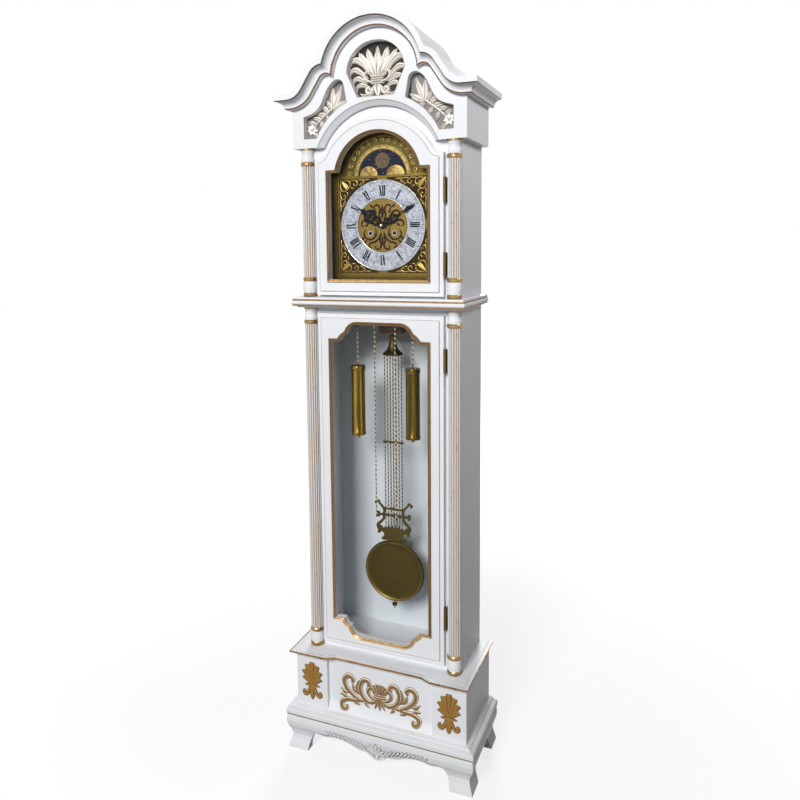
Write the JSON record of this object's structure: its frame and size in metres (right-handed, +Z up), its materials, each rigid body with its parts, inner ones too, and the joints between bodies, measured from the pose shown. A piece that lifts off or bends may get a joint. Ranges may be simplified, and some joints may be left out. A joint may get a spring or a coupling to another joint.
{
  "type": "longcase clock",
  "caption": "White and gilt longcase clock with an arched hood, moon dial, glazed doors, lyre pendulum and weights.",
  "frame": {"origin": "middle of the floor rectangle under the clock, at floor level", "axes": "+Z up, -Y is the front, +Y is the wall side, +X is the hinge side of the doors"},
  "size_m": [0.596, 0.284, 2.175],
  "materials": {
    "white_wood": "aged off-white paint, satin",
    "gilt_wood": "worn gilding over brown ground",
    "plain_wood": "plain brown stain",
    "dark_cloth": "plain dark weave",
    "pane": "clear",
    "brass": "polished, lightly aged",
    "silvered": "silvered and grained",
    "painted_disc": "satin paint",
    "blued_steel": "black",
    "steel": "plain"
  },
  "bodies": {
    "case": {"bracket_feet": "white_wood", "apron_carving": "gilt_wood", "base_moulding": "white_wood", "base_boards": "white_wood", "base_panel": "white_wood", "corner_blocks": "white_wood", "base_carvings": "gilt_wood", "ledge_board": "white_wood", "side_panels": "white_wood", "back_panel": "white_wood", "face_frame": "white_wood", "waist_moulding": "white_wood", "columns": "white_wood", "column_rings": "gilt_wood", "frieze_boards": "white_wood", "frieze_carvings": "white_wood", "fret_cloth": "dark_cloth", "cornice": "white_wood", "roof_board": "white_wood", "dial_mask": "brass", "seat_board": "plain_wood", "case_leaves": "brass", "dial_plate": "brass", "chapter_ring": "silvered", "centre_disc": "brass", "dial_mounts": "brass", "movement_plates": "brass", "gong": "blued_steel", "chain_hooks": "brass"},
    "upper_door": {"upper_door_frame": "white_wood", "upper_door_glass": "pane", "upper_door_leaves": "brass"},
    "lower_door": {"lower_door_frame": "white_wood", "lower_door_glass": "pane", "lower_door_leaves": "brass"},
    "minute_hand": {"minute_hand": "blued_steel", "centre_wheel": "brass"},
    "hour_hand": {"hour_hand": "blued_steel", "hour_wheel": "brass"},
    "minute_wheel": {"minute_wheel": "brass"},
    "time_barrel": {"time_barrel": "brass"},
    "time_arbor": {"time_arbor": "steel"},
    "strike_barrel": {"strike_barrel": "brass"},
    "strike_arbor": {"strike_arbor": "steel"},
    "third_wheel": {"third_wheel": "brass"},
    "escape_wheel": {"escape_wheel": "brass"},
    "moon_disc": {"moon_disc": "painted_disc"},
    "anchor": {"anchor": "steel"},
    "hammer": {"hammer": "steel"},
    "pendulum": {"pendulum_rod": "steel", "pendulum_rods": "silvered", "pendulum_lyre": "brass", "pendulum_bob": "brass"},
    "rating_nut": {"rating_nut": "brass"},
    "weight_left": {"weight_left": "brass", "weight_chain_left": "brass"},
    "weight_right": {"weight_right": "brass", "weight_chain_right": "brass"},
    "free_chain_left": {"free_chain_left": "brass"},
    "free_chain_right": {"free_chain_right": "brass"}
  },
  "joints": [
    {"name": "upper_door_hinge", "type": "hinge", "parent": "case", "child": "upper_door", "pos_m": [0.1975, -0.08225, 1.6], "axis": [0, 0, 1], "range_deg": [0, 105]},
    {"name": "lower_door_hinge", "type": "hinge", "parent": "case", "child": "lower_door", "pos_m": [0.1975, -0.08225, 0.85], "axis": [0, 0, 1], "range_deg": [0, 105]},
    {"name": "pendulum_swing", "type": "hinge", "parent": "case", "child": "pendulum", "pos_m": [0, 0.029, 1.66674], "axis": [0, 1, 0], "range_deg": [-3, 3]},
    {"name": "anchor_rock", "type": "hinge", "parent": "case", "child": "anchor", "pos_m": [0, 0.002, 1.66674], "axis": [0, 1, 0], "range_deg": [-3.5, 3.5]},
    {"name": "minute_hand_turn", "type": "hinge", "parent": "case", "child": "minute_hand", "pos_m": [0, -0.008, 1.604], "axis": [0, 1, 0], "continuous": true},
    {"name": "hour_hand_turn", "type": "hinge", "parent": "case", "child": "hour_hand", "pos_m": [0, -0.008, 1.604], "axis": [0, 1, 0], "continuous": true},
    {"name": "minute_wheel_turn", "type": "hinge", "parent": "case", "child": "minute_wheel", "pos_m": [0, -0.008, 1.586], "axis": [0, 1, 0], "continuous": true},
    {"name": "time_barrel_turn", "type": "hinge", "parent": "case", "child": "time_barrel", "pos_m": [-0.037, -0.008, 1.582], "axis": [0, 1, 0], "continuous": true},
    {"name": "third_wheel_turn", "type": "hinge", "parent": "case", "child": "third_wheel", "pos_m": [-0.0198, -0.008, 1.6238], "axis": [0, 1, 0], "continuous": true},
    {"name": "escape_wheel_turn", "type": "hinge", "parent": "case", "child": "escape_wheel", "pos_m": [0, -0.008, 1.63987], "axis": [0, 1, 0], "continuous": true},
    {"name": "time_arbor_turn", "type": "hinge", "parent": "case", "child": "time_arbor", "pos_m": [-0.037, -0.008, 1.582], "axis": [0, 1, 0], "continuous": true},
    {"name": "strike_barrel_turn", "type": "hinge", "parent": "case", "child": "strike_barrel", "pos_m": [0.037, -0.008, 1.582], "axis": [0, 1, 0], "continuous": true},
    {"name": "strike_arbor_turn", "type": "hinge", "parent": "case", "child": "strike_arbor", "pos_m": [0.037, -0.008, 1.582], "axis": [0, 1, 0], "continuous": true},
    {"name": "moon_disc_turn", "type": "hinge", "parent": "case", "child": "moon_disc", "pos_m": [0, -0.0379, 1.744], "axis": [0, 1, 0], "continuous": true},
    {"name": "hammer_lift", "type": "hinge", "parent": "case", "child": "hammer", "pos_m": [0.06, 0.082, 1.66], "axis": [0, 1, 0], "range_deg": [0, 12]},
    {"name": "rating_nut_turn", "type": "hinge", "parent": "pendulum", "child": "rating_nut", "pos_m": [0, 0.029, 0.441], "axis": [0, 0, 1], "continuous": true},
    {"name": "weight_left_swing", "type": "hinge", "parent": "case", "child": "weight_left", "pos_m": [-0.086, -0.034, 1.474], "axis": [0, 1, 0], "range_deg": [-1.5, 1.5]},
    {"name": "weight_right_swing", "type": "hinge", "parent": "case", "child": "weight_right", "pos_m": [0.086, -0.034, 1.474], "axis": [0, 1, 0], "range_deg": [-1.5, 1.5]},
    {"name": "free_chain_left_swing", "type": "hinge", "parent": "case", "child": "free_chain_left", "pos_m": [-0.032, -0.034, 1.474], "axis": [0, 1, 0], "range_deg": [-1.5, 1.5]},
    {"name": "free_chain_right_swing", "type": "hinge", "parent": "case", "child": "free_chain_right", "pos_m": [0.032, -0.034, 1.474], "axis": [0, 1, 0], "range_deg": [-1.5, 1.5]}
  ],
  "couplings": [
    {"joint": "anchor_rock", "follows": "pendulum_swing", "ratio": 1},
    {"joint": "hour_hand_turn", "follows": "minute_hand_turn", "ratio": 0.083333},
    {"joint": "minute_wheel_turn", "follows": "minute_hand_turn", "ratio": -0.33333},
    {"joint": "time_barrel_turn", "follows": "minute_hand_turn", "ratio": -0.14286},
    {"joint": "third_wheel_turn", "follows": "minute_hand_turn", "ratio": -7.75},
    {"joint": "escape_wheel_turn", "follows": "minute_hand_turn", "ratio": 58.125}
  ]
}
